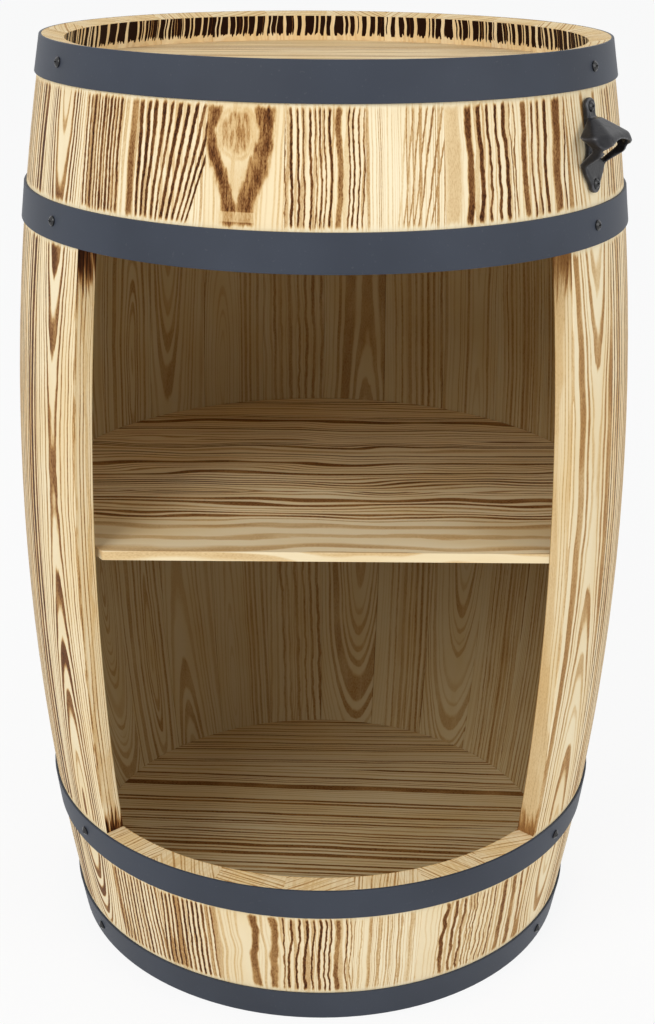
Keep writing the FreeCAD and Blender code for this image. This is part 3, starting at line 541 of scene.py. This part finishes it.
def make_stave_zones():
    """How the flame met each place of a stave, from its own axes and the angle of half its
    width: hardest inside the rim, soft where the hoops kept it off, and black at the corners of
    the opening. Inside, below the head, the wood is also greyed and darkened by smoke and painted
    shade."""
    tree, field, result = new_group(
        "Stave zones",
        ["Place", "Half angle", "Jamb", "Seed"],
        ["Scorch", "Stripes", "Lines", "Toast", "Smoke", "Char", "Depth"],
    )
    place, seed, jamb = field["Place"].socket, field["Seed"], field["Jamb"]
    x, y, z = split(tree, place)
    ragged = noise(tree, place, (260, 260, 30))
    flecks = noise(tree, place, (30, 30, 9), 1.0) * 0.006

    # The stave's faces.
    height = z - MIDDLE
    bow = (BOW_RADIUS**2 - height * height).calc("SQRT") + BOW_CENTRE
    depth = bow - (x * x + y * y).calc("SQRT")
    outer = depth.step(SKIN_FULL, SKIN_GONE, 1.0, 0.0)
    inner = depth.step(STAVE_THICKNESS - SKIN_GONE, STAVE_THICKNESS - SKIN_FULL)
    angle = y.calc("ARCTAN2", x).calc("ABSOLUTE")
    side = angle.step(field["Half angle"] - 0.004, field["Half angle"] - 0.0012) * (1 - outer)
    below_head = inner * z.step(HEAD_LEVEL - 0.02, HEAD_LEVEL - 0.018, 1.0, 0.0)
    rim_inside = inner - below_head
    normal = split(tree, add(tree, "NewGeometry", output="Normal"))
    end_grain = normal[2].calc("ABSOLUTE").step(0.75, 0.9)
    side_grain = 1 - end_grain

    # What was burnt on them.
    bars = draw_rim_bars(tree, place, seed) * rim_inside * side_grain
    burnt = draw_tongues(tree, place) * side * jamb.calc("SQRT")
    threads = noise_along(tree, (depth + flecks) * JAMB_THREADS + seed, 2.0)
    threads = threads.step(0.5, 0.66) * (jamb * 0.5 + 0.28) * side * side_grain
    corner = depth.step(0.0012, 0.0034, 1.0, 0.0) * ragged.step(0.3, 0.6)
    corner = corner * jamb.calc("SQRT") * side * side_grain
    rings = draw_end_rings(tree, place, flecks, seed) * end_grain
    scorched = outer * clear_of_hoops(z, ragged)
    return close_group(tree, result, {
        "Scorch": (scorched + below_head * 0.32 + side * 0.22) * side_grain,
        "Stripes": (scorched + below_head * 0.42 + side * 0.2) * side_grain,
        "Lines": (bars * 1.05 + threads * 0.75).calc("MAXIMUM", corner * 0.8) + rings * 0.42,
        "Toast": below_head * 0.3 + rim_inside * 0.12 + side * 0.12 + end_grain * 0.2,
        # Painted shade, partly smoke: the inside below the head is greyed and darkened.
        "Smoke": below_head * side_grain * 0.8,
        "Char": burnt * 0.85 + bars * 0.4,
        "Depth": depth,
    })


stave_zones = make_stave_zones()


def stave_material(name, azimuth, pitch, board, jamb=0.0):
    """The pine of one stave. jamb says how hard its sides were burnt, beside the opening."""
    material, tree, shader = new_material(name)
    place = own_axes(tree, azimuth)
    zones = use_group(tree, stave_zones, {
        "Place": place, "Half angle": math.radians(pitch / 2), "Jamb": jamb,
        "Seed": board["Seed"],
    })
    finish_pine(tree, shader, place, board, zones)
    return material


# The boards that the staves above the opening are cut from, from left to right.
UPPER_BOARDS = [
    cut(Seed=1.0, Level=UPPER_LEVEL, Scorch=0.25, Wave=0.0013, Wave_length=0.04, Stripes=[
        (-26, 2.0, 0.8), (-22, 1.9, 0.75), (-17.7, 2.8, 0.95), (-13.7, 1.8, 0.8),
        (-10.5, 1.8, 0.8), (-6.9, 2.7, 0.95), (-3.9, 1.7, 0.75), (-0.4, 2.6, 0.9),
        (3.3, 2.1, 0.85), (6.7, 1.6, 0.8), (10.5, 2.4, 0.95), (15.5, 1.2, 0.3),
        (24.2, 6.0, 0.66),
    ]),
    cut(Seed=2.0, Level=UPPER_LEVEL, Scorch=0.2, Wave=0.0022, Wave_length=0.05, Fan=5.2,
        Fan_from=-0.030, Stripes=[
            (-26, 2.8, 1.0), (-20.6, 2.6, 0.97), (-15.9, 2.6, 0.97), (-10.1, 2.6, 0.97),
            (-5.3, 1.9, 0.9), (0.2, 3.0, 0.97), (6.0, 2.6, 0.97), (11.8, 2.5, 1.0),
            (16.9, 2.1, 0.95), (21.4, 2.1, 1.0), (25.4, 1.8, 0.95),
        ]),
    cut(Seed=3.0, Level=UPPER_LEVEL, Scorch=0.12, Wave=0.0012, Flame=-0.0055, Toast=0.3),
    cut(Seed=4.0, Level=UPPER_LEVEL, Scorch=0.22, Wave=0.0024, Wave_length=0.035, Stripes=[
        (-28.5, 1.0, 0.7), (-24, 2.0, 0.95), (-19.2, 1.6, 0.9), (-15.2, 1.4, 0.85),
        (-10.2, 1.8, 1.0), (-6.6, 1.0, 0.8), (-3.4, 1.4, 0.9), (-0.4, 1.0, 0.8),
        (3.5, 1.9, 0.97), (10.0, 4.2, 0.66), (16.5, 1.2, 0.85), (19.5, 1.3, 0.9),
        (23.3, 1.2, 0.9), (26.8, 1.1, 0.8),
    ]),
    cut(Seed=5.0, Level=UPPER_LEVEL, Side=0.13, Ring=0.0021, Scorch=0.3, Toast=0.0, Wave=0.0015,
        Wave_length=0.05, Fan=3.5, Fan_from=-0.03, Stripes=[
            (-3.1, 1.4, 0.26), (1.1, 1.3, 0.4), (5.4, 1.2, 0.5), (9.6, 1.2, 0.55),
            (13.7, 1.4, 0.6), (19.5, 1.5, 0.6), (24.0, 1.2, 0.5),
        ]),
    cut(Seed=6.0, Level=UPPER_LEVEL, Scorch=0.2, Wave=0.0042, Wave_length=0.045, Stripes=[
        (-21.5, 12.0, 0.24), (-8.6, 5.4, 0.93), (0.3, 3.6, 0.93), (7.7, 2.2, 0.93),
        (15.4, 2.6, 0.97), (22.6, 3.4, 0.95), (27.6, 1.0, 0.7),
    ]),
    cut(Seed=7.0, Level=UPPER_LEVEL, Scorch=0.2, Wave=0.0028, Wave_length=0.05, Stripes=[
        (-26.5, 1.2, 0.7), (-17.4, 5.0, 0.72), (-9.5, 2.2, 0.85), (-3.3, 2.1, 0.85),
        (4.1, 3.4, 0.95), (17.0, 8.6, 0.74), (25.5, 1.6, 0.9),
    ]),
]
# And those below it.
LOWER_BOARDS = [
    cut(Seed=21.0, Level=LOWER_LEVEL, Scorch=0.3, Wave=0.0012, Fan=-1.6, Stripes=[
        (-25, 3.2, 0.7), (-20.6, 1.8, 0.85), (-16.4, 1.6, 0.85), (-12, 1.8, 0.9),
        (-7.8, 1.6, 0.8), (-3.6, 2.2, 0.9), (0.8, 1.6, 0.85), (5, 1.6, 0.8),
        (9.2, 2.2, 0.9), (13.6, 1.6, 0.8), (17.6, 1.6, 0.85), (22, 2.0, 0.9), (26, 1.4, 0.8),
    ]),
    cut(Seed=22.0, Level=LOWER_LEVEL, Scorch=0.3, Wave=0.0014, Wave_length=0.04, Fan=-1.2, Stripes=[
        (-26, 1.8, 0.95), (-21.8, 2.0, 0.9), (-17.4, 1.8, 0.95), (-13, 2.0, 0.95),
        (-8.4, 1.8, 0.9), (-4, 2.2, 0.97), (0.6, 1.8, 0.95), (5.2, 2.2, 0.95),
        (9.8, 2.0, 0.97), (14.6, 2.2, 0.85), (19.6, 1.4, 0.6), (23.2, 1.6, 0.75),
    ]),
    cut(Seed=23.0, Level=LOWER_LEVEL, Scorch=0.12, Toast=0.2, Wave=0.006, Wave_length=0.05,
        Stripes=[(2.6, 6.6, 0.66), (18.6, 6.2, 0.62), (26.4, 1.4, 0.8)]),
    cut(Seed=24.0, Level=LOWER_LEVEL, Scorch=0.2, Wave=0.0030, Wave_length=0.035, Stripes=[
        (-24.7, 2.2, 0.85), (-17.9, 2.0, 0.93), (-11.2, 2.6, 0.95), (-5.2, 1.7, 0.9),
        (0.7, 2.4, 0.93), (5.4, 1.6, 0.9), (9.4, 1.6, 0.85), (15.6, 4.0, 0.66),
        (22.8, 1.2, 0.8), (26.4, 1.0, 0.6),
    ]),
    cut(Seed=25.0, Level=LOWER_LEVEL, Side=0.13, Ring=0.0024, Scorch=0.3, Toast=0.0, Wave=0.0016,
        Stripes=[
            (-22.7, 1.3, 0.3), (-14.1, 1.2, 0.34), (-5.5, 1.3, 0.4), (3.2, 1.2, 0.36),
            (12.0, 1.4, 0.32), (21.0, 4.0, 0.26),
        ]),
    cut(Seed=26.0, Level=LOWER_LEVEL, Scorch=0.2, Wave=0.0046, Wave_length=0.032, Stripes=[
        (-5.2, 4.0, 0.78), (4.2, 3.0, 0.74), (12.6, 2.6, 0.72), (18.7, 1.5, 0.6),
        (22.2, 1.2, 0.6), (25.6, 1.4, 0.7),
    ]),
    cut(Seed=27.0, Level=LOWER_LEVEL, Scorch=0.22, Wave=0.0026, Fan=-2.0, Stripes=[
        (-26.0, 1.6, 0.6), (-21.4, 1.4, 0.62), (-16.8, 1.4, 0.6), (-11.4, 1.9, 0.66),
        (1.3, 5.4, 0.68), (14.4, 5.6, 0.6), (24.7, 3.2, 0.6),
    ]),
]
# The boards of the two full staves beside the opening.
LEFT_BOARD = cut(Pith=0.245, Side=0.001, Lean=-0.035, Ring=0.0036, Wave=0.0012, Seed=8.0,
                 Scorch=0.72)
RIGHT_BOARD = cut(Pith=0.240, Side=0.004, Lean=-0.03, Ring=0.0046, Wave=0.003, Seed=9.0,
                  Scorch=0.38, Wave_length=0.06)
# How hard the sides of those two boards were burnt, beside the opening.
LEFT_JAMB = 0.8
RIGHT_JAMB = 0.15

# How many of the other boards show rings, and how far across a board stripes are drawn.
RINGED_SHARE = 0.4
STRIPES_REACH = 34.0


def random_board(chance, seed):
    """A board for a stave at the sides or back."""
    if chance.random() < RINGED_SHARE:
        return cut(
            Pith=chance.uniform(0.225, 0.245), Side=chance.uniform(-0.012, 0.012),
            Lean=chance.uniform(-0.07, 0.07), Ring=chance.uniform(0.0026, 0.0045),
            Wave=chance.uniform(0.001, 0.003), Wave_length=0.06, Seed=seed,
            Scorch=chance.uniform(0.5, 0.75),
        )
    step = chance.uniform(3.6, 6.5)
    stripes = []
    place = -STRIPES_REACH
    while place < STRIPES_REACH:
        width = step * chance.uniform(0.3, 0.55) * (2.2 if chance.random() < 0.15 else 1)
        stripes.append((place, width, chance.uniform(0.6, 1.0)))
        place += step * chance.uniform(0.8, 1.25) + width * 0.4
    return cut(
        Slant=chance.uniform(-0.02, 0.02), Wave=chance.uniform(0.001, 0.004),
        Wave_length=chance.uniform(0.04, 0.1), Seed=seed, Scorch=0.25, Stripes=stripes,
    )


def dress_staves():
    """Gives each board its own grain."""
    for row, boards in (("upper", UPPER_BOARDS), ("lower", LOWER_BOARDS)):
        for number, board in enumerate(boards, 1):
            azimuth = (number - 0.5) * FRONT_PITCH - OPENING_HALF_ANGLE
            material = stave_material(f"{row}_pine_{number}", azimuth, FRONT_PITCH, board)
            dress(f"{row}_stave_{number}", material)
    chance = random.Random(4)
    for number in range(1, FULL_STAVES + 1):
        board = random_board(chance, 30.0 + number)
        board = {1: RIGHT_BOARD, FULL_STAVES: LEFT_BOARD}.get(number, board)
        jamb = {1: RIGHT_JAMB, FULL_STAVES: LEFT_JAMB}.get(number, 0.0)
        azimuth = OPENING_HALF_ANGLE + (number - 0.5) * STAVE_PITCH
        material = stave_material(f"pine_{number}", azimuth, STAVE_PITCH, board, jamb)
        dress(f"full_stave_{number:02d}", material)


def flat_board_material(name, board, scorch, level):
    """The pine of a level board, whose grain runs from left to right. Its edges are paler."""
    material, tree, shader = new_material(name)
    x, y, z = split(tree, add(tree, "TexCoord", output="Object"))
    place = add(tree, "CombineXYZ", [z + (BOARD_FACE - level), y, x + MIDDLE])
    normal = split(tree, add(tree, "NewGeometry", output="Normal"))
    face = normal[2].calc("ABSOLUTE").step(0.5, 0.9, 0.65, 1.0)
    finish_pine(tree, shader, place, board, {
        "Scorch": face * scorch, "Lines": 0.0, "Toast": 0.0, "Smoke": 0.0, "Char": 0.0,
    })
    return material


def dress_flat_boards():
    """The boards of the two heads and the shelf."""
    chance = random.Random(12)
    # The bottom head lies inside the barrel and is greyed and darkened by smoke and painted shade.
    for head, smoke_and_shade in (("top_head", 0.0), ("bottom_head", 0.5)):
        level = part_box(f"{head}_board_1")[1].z
        for number in range(1, 5):
            board = cut(
                Side=chance.uniform(-0.3, -0.1), Pith=BOARD_FACE - chance.uniform(0.04, 0.09),
                Ring=chance.uniform(0.004, 0.006), Slant=chance.uniform(-0.06, 0.06),
                Wave=0.002, Wave_length=0.08, Seed=60.0 + number, Toast=0.3, Smoke=smoke_and_shade,
            )
            material = flat_board_material(f"{head}_pine_{number}", board, 0.5, level)
            dress(f"{head}_board_{number}", material)
    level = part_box("shelf_board_1")[1].z
    # The shelf inside the barrel gets a little smoke and painted shade.
    for number in range(1, 4):
        board = cut(
            Side=chance.uniform(-0.1, -0.02) - 0.05 * number, Pith=BOARD_FACE - 0.03,
            Ring=0.0066, Wave=0.016, Wave_length=0.12, Seed=70.0 + number, Toast=0.2,
            Smoke=0.05,
        )
        material = flat_board_material(f"shelf_pine_{number}", board, 0.54, level)
        dress(f"shelf_board_{number}", material)


# Metal.

# Edges that turn by more than this stay crisp.
CRISP_ANGLE = math.radians(35)
# The size of the casting's even faces, and how many times they are worn down.
CASTING_GRAIN = 0.0007
CASTING_WEAR = 24
# Corners closer than this are one.
SAME_PLACE = 1e-6


def painted_steel():
    """Matt anthracite paint on strip steel, with a faint orange peel."""
    material, tree, shader = new_material("anthracite_paint")
    where = add(tree, "TexCoord", output="Object")
    clouds = noise(tree, where, 9.0, 3.0)
    peel = noise(tree, where, 900.0)
    specks = noise(tree, where, 420.0, 1.0).step(0.70, 0.76)
    shade = clouds.step(0.3, 0.7)
    colour = blend_colours(tree, shade, (0.039, 0.046, 0.062), (0.050, 0.059, 0.079))
    colour = blend_colours(tree, specks * 0.2, colour, (0.13, 0.13, 0.14))
    bump = add(tree, "Bump", {"Strength": 0.15, "Distance": 0.0002, "Height": peel})
    feed(
        tree, shader, Base_Color=colour, Roughness=clouds * 0.12 + 0.45, Normal=bump,
        Specular_IOR_Level=0.2,
    )
    return material


def black_steel():
    """The screws' black finish."""
    material, tree, shader = new_material("blackened_steel")
    where = add(tree, "TexCoord", output="Object")
    grime = noise(tree, where, 700.0)
    colour = blend_colours(tree, grime, (0.003, 0.003, 0.004), (0.012, 0.012, 0.013))
    feed(
        tree, shader, Base_Color=colour, Roughness=grime * 0.14 + 0.16, Specular_IOR_Level=0.5,
    )
    return material


def cast_iron():
    """Black paint over a rough casting, with a painted highlight along its edges."""
    material, tree, shader = new_material("cast_iron")
    where = add(tree, "TexCoord", output="Object")
    grain = noise(tree, where, 650.0, 3.0)
    dents = noise(tree, where, 190.0)
    # Painted highlight: the sharpest edges are lightened towards a pale grey.
    edges = Field(tree, add(tree, "NewGeometry", output="Pointiness")).step(0.505, 0.545)
    colour = blend_colours(tree, dents, (0.005, 0.005, 0.007), (0.017, 0.017, 0.020))
    colour = blend_colours(tree, edges * 0.75, colour, (0.19, 0.19, 0.20))
    bump = add(tree, "Bump", {"Strength": 0.45, "Distance": 0.0004, "Height": grain + dents})
    feed(
        tree, shader, Base_Color=colour, Roughness=grain * 0.2 + 0.22, Normal=bump,
        Specular_IOR_Level=0.32,
    )
    return material


def merged_copy(name):
    """A node's shape with its corners joined, to be finished and shown in its place."""
    shape = bmesh.new()
    shape.from_mesh(nodes[name].data)
    shape.transform(nodes[name].matrix_world)
    bmesh.ops.remove_doubles(shape, verts=shape.verts, dist=SAME_PLACE)
    return shape


def add_piece(shape, name):
    """Puts a shape in the scene under a name and lets go of it."""
    mesh = bpy.data.meshes.new(name)
    shape.to_mesh(mesh)
    shape.free()
    piece = bpy.data.objects.new(name, mesh)
    bpy.context.scene.collection.objects.link(piece)
    return piece


def smooth_faces(shape):
    """Lets a shape's faces shine as one curve."""
    for face in shape.faces:
        face.smooth = True


def show_instead(shape, name, material):
    """Shows a finished shape in a node's place."""
    piece = add_piece(shape, f"finished_{name}")
    piece.data.materials.append(material)
    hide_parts(name)
    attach(piece, "root")


def dress_turned(name, material):
    """Small turned pieces, whose domes shine as one curve and whose edges stay crisp."""
    shape = merged_copy(name)
    smooth_faces(shape)
    for edge in shape.edges:
        edge.smooth = len(edge.link_faces) == 2 and edge.calc_face_angle() < CRISP_ANGLE
    show_instead(shape, name, material)


def dress_casting(name, material):
    """A casting, whose edges and corners are round: its copy gets small even faces, which are
    then worn smooth."""
    piece = add_piece(merged_copy(name), "rough_casting")
    even = piece.modifiers.new("even_faces", "REMESH")
    even.mode = "VOXEL"
    even.voxel_size = CASTING_GRAIN
    ready = piece.evaluated_get(bpy.context.evaluated_depsgraph_get())
    shape = bmesh.new()
    shape.from_mesh(ready.data)
    bpy.data.objects.remove(piece)
    for _ in range(CASTING_WEAR):
        bmesh.ops.smooth_vert(
            shape, verts=shape.verts, factor=0.5, use_axis_x=True, use_axis_y=True,
            use_axis_z=True,
        )
    smooth_faces(shape)
    show_instead(shape, name, material)


def dress_metal():
    """The hoops, screws and opener."""
    paint, black, iron = painted_steel(), black_steel(), cast_iron()
    for hoop in HOOPS:
        dress(hoop, paint)
        dress_turned(f"{hoop}_screws", black)
    dress_turned("bottle_opener_screws", black)
    dress_casting("bottle_opener", iron)


# Studio.

WHITE = (1, 1, 1, 1)
FLOOR_GREY = (0.9, 0.9, 0.9, 1)
FLOOR_SIZE = 60
# How much of the floor's own white shows over its shadows.
FLOOR_GLOW = 0.88
SKY_COLOUR = (0.97, 0.985, 1.0, 1)
SKY_STRENGTH = 0.6

CAMERA_DISTANCE = 1.353
CAMERA_HEIGHT = 0.909
CAMERA_PITCH = 21.41
CAMERA_ROLL = 0.44
CAMERA_LENS = 56.0
CAMERA_SHIFT = 0.0047


def seen_directly(tree):
    """1 where the camera sees a surface, straight or in a reflection, and 0 where it only gives
    light."""
    path = tree.nodes.new("ShaderNodeLightPath")
    straight, mirrored, through = (
        Field(tree, path.outputs[f"Is {kind} Ray"])
        for kind in ("Camera", "Glossy", "Transmission")
    )
    return straight.calc("MAXIMUM", mirrored).calc("MAXIMUM", through)


def lay_floor():
    """A pale floor, which looks white and keeps the shadow."""
    bpy.ops.mesh.primitive_plane_add(size=FLOOR_SIZE)
    floor = bpy.context.object
    floor.name = "floor"
    material, tree, shader = new_material("white_floor")
    tree.nodes.remove(shader)
    matt = add(tree, "BsdfDiffuse", {"Color": FLOOR_GREY})
    glow = add(tree, "Emission", {"Color": WHITE, "Strength": 1.0})
    shown = add(tree, "MixShader", [seen_directly(tree) * FLOOR_GLOW, matt, glow])
    tree.links.new(shown, tree.nodes["Material Output"].inputs["Surface"])
    floor.data.materials.append(material)


def light_sky():
    """An even sky, which looks white."""
    world = bpy.context.scene.world or bpy.data.worlds.new("studio")
    bpy.context.scene.world = world
    world.use_nodes = True
    tree = world.node_tree
    tree.nodes.clear()
    light = add(tree, "Background", {"Color": SKY_COLOUR, "Strength": SKY_STRENGTH})
    white = add(tree, "Background", {"Color": WHITE, "Strength": 1.0})
    shown = add(tree, "MixShader", [seen_directly(tree), light, white])
    output = tree.nodes.new("ShaderNodeOutputWorld")
    tree.links.new(shown, output.inputs["Surface"])


def hang_lamp(name, place, target, size, power):
    """A square lamp that faces a point."""
    data = bpy.data.lights.new(name, "AREA")
    data.size = size
    data.energy = power
    lamp = bpy.data.objects.new(name, data)
    lamp.location = place
    lamp.rotation_euler = (Vector(target) - Vector(place)).to_track_quat("-Z", "Y").to_euler()
    bpy.context.scene.collection.objects.link(lamp)


def build_studio():
    """The floor, the sky and two large soft lamps."""
    lay_floor()
    light_sky()
    hang_lamp("key", place=(-1.6, -2.4, 2.4), target=(0, 0, 0.45), size=1.8, power=43)
    hang_lamp("fill", place=(2.2, -1.6, 1.6), target=(0, 0, 0.4), size=1.6, power=16)


def place_camera():
    """In front of the barrel, a little above it and looking down."""
    data = bpy.data.cameras.new("camera")
    data.lens = CAMERA_LENS
    data.sensor_width = 36
    data.shift_x = CAMERA_SHIFT
    camera = bpy.data.objects.new("camera", data)
    camera.matrix_world = (
        Matrix.Translation(AXIS + Vector((0, -CAMERA_DISTANCE, CAMERA_HEIGHT)))
        @ Matrix.Rotation(math.radians(90 - CAMERA_PITCH), 4, "X")
        @ Matrix.Rotation(math.radians(CAMERA_ROLL), 4, "Z")
    )
    bpy.context.scene.collection.objects.link(camera)
    bpy.context.scene.camera = camera


dress_staves()
dress_flat_boards()
dress_metal()
build_studio()
place_camera()
bpy.context.scene.view_settings.view_transform = "Standard"
